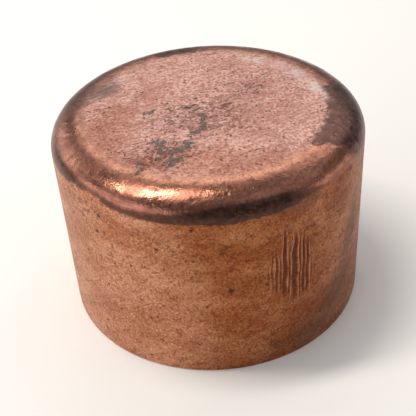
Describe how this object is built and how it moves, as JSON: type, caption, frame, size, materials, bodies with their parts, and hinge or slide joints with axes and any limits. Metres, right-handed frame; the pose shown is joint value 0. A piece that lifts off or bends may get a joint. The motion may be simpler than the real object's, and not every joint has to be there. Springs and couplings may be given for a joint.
{
  "type": "pipe cap",
  "caption": "Plain copper solder-joint cap for 54 mm tube: a drawn cup with a flat closed end, a rounded shoulder and a straight socket.",
  "frame": {"origin": "centre of the open mouth, in the plane of the rim", "axes": "+Z along the socket's axis, from the open mouth to the closed end"},
  "size_m": [0.0572, 0.0572, 0.0384],
  "materials": {
    "copper": "drawn copper, pickled matte with a burnished shoulder and brown tarnish"
  },
  "bodies": {
    "root": {"cap_shell": "copper"}
  },
  "joints": []
}
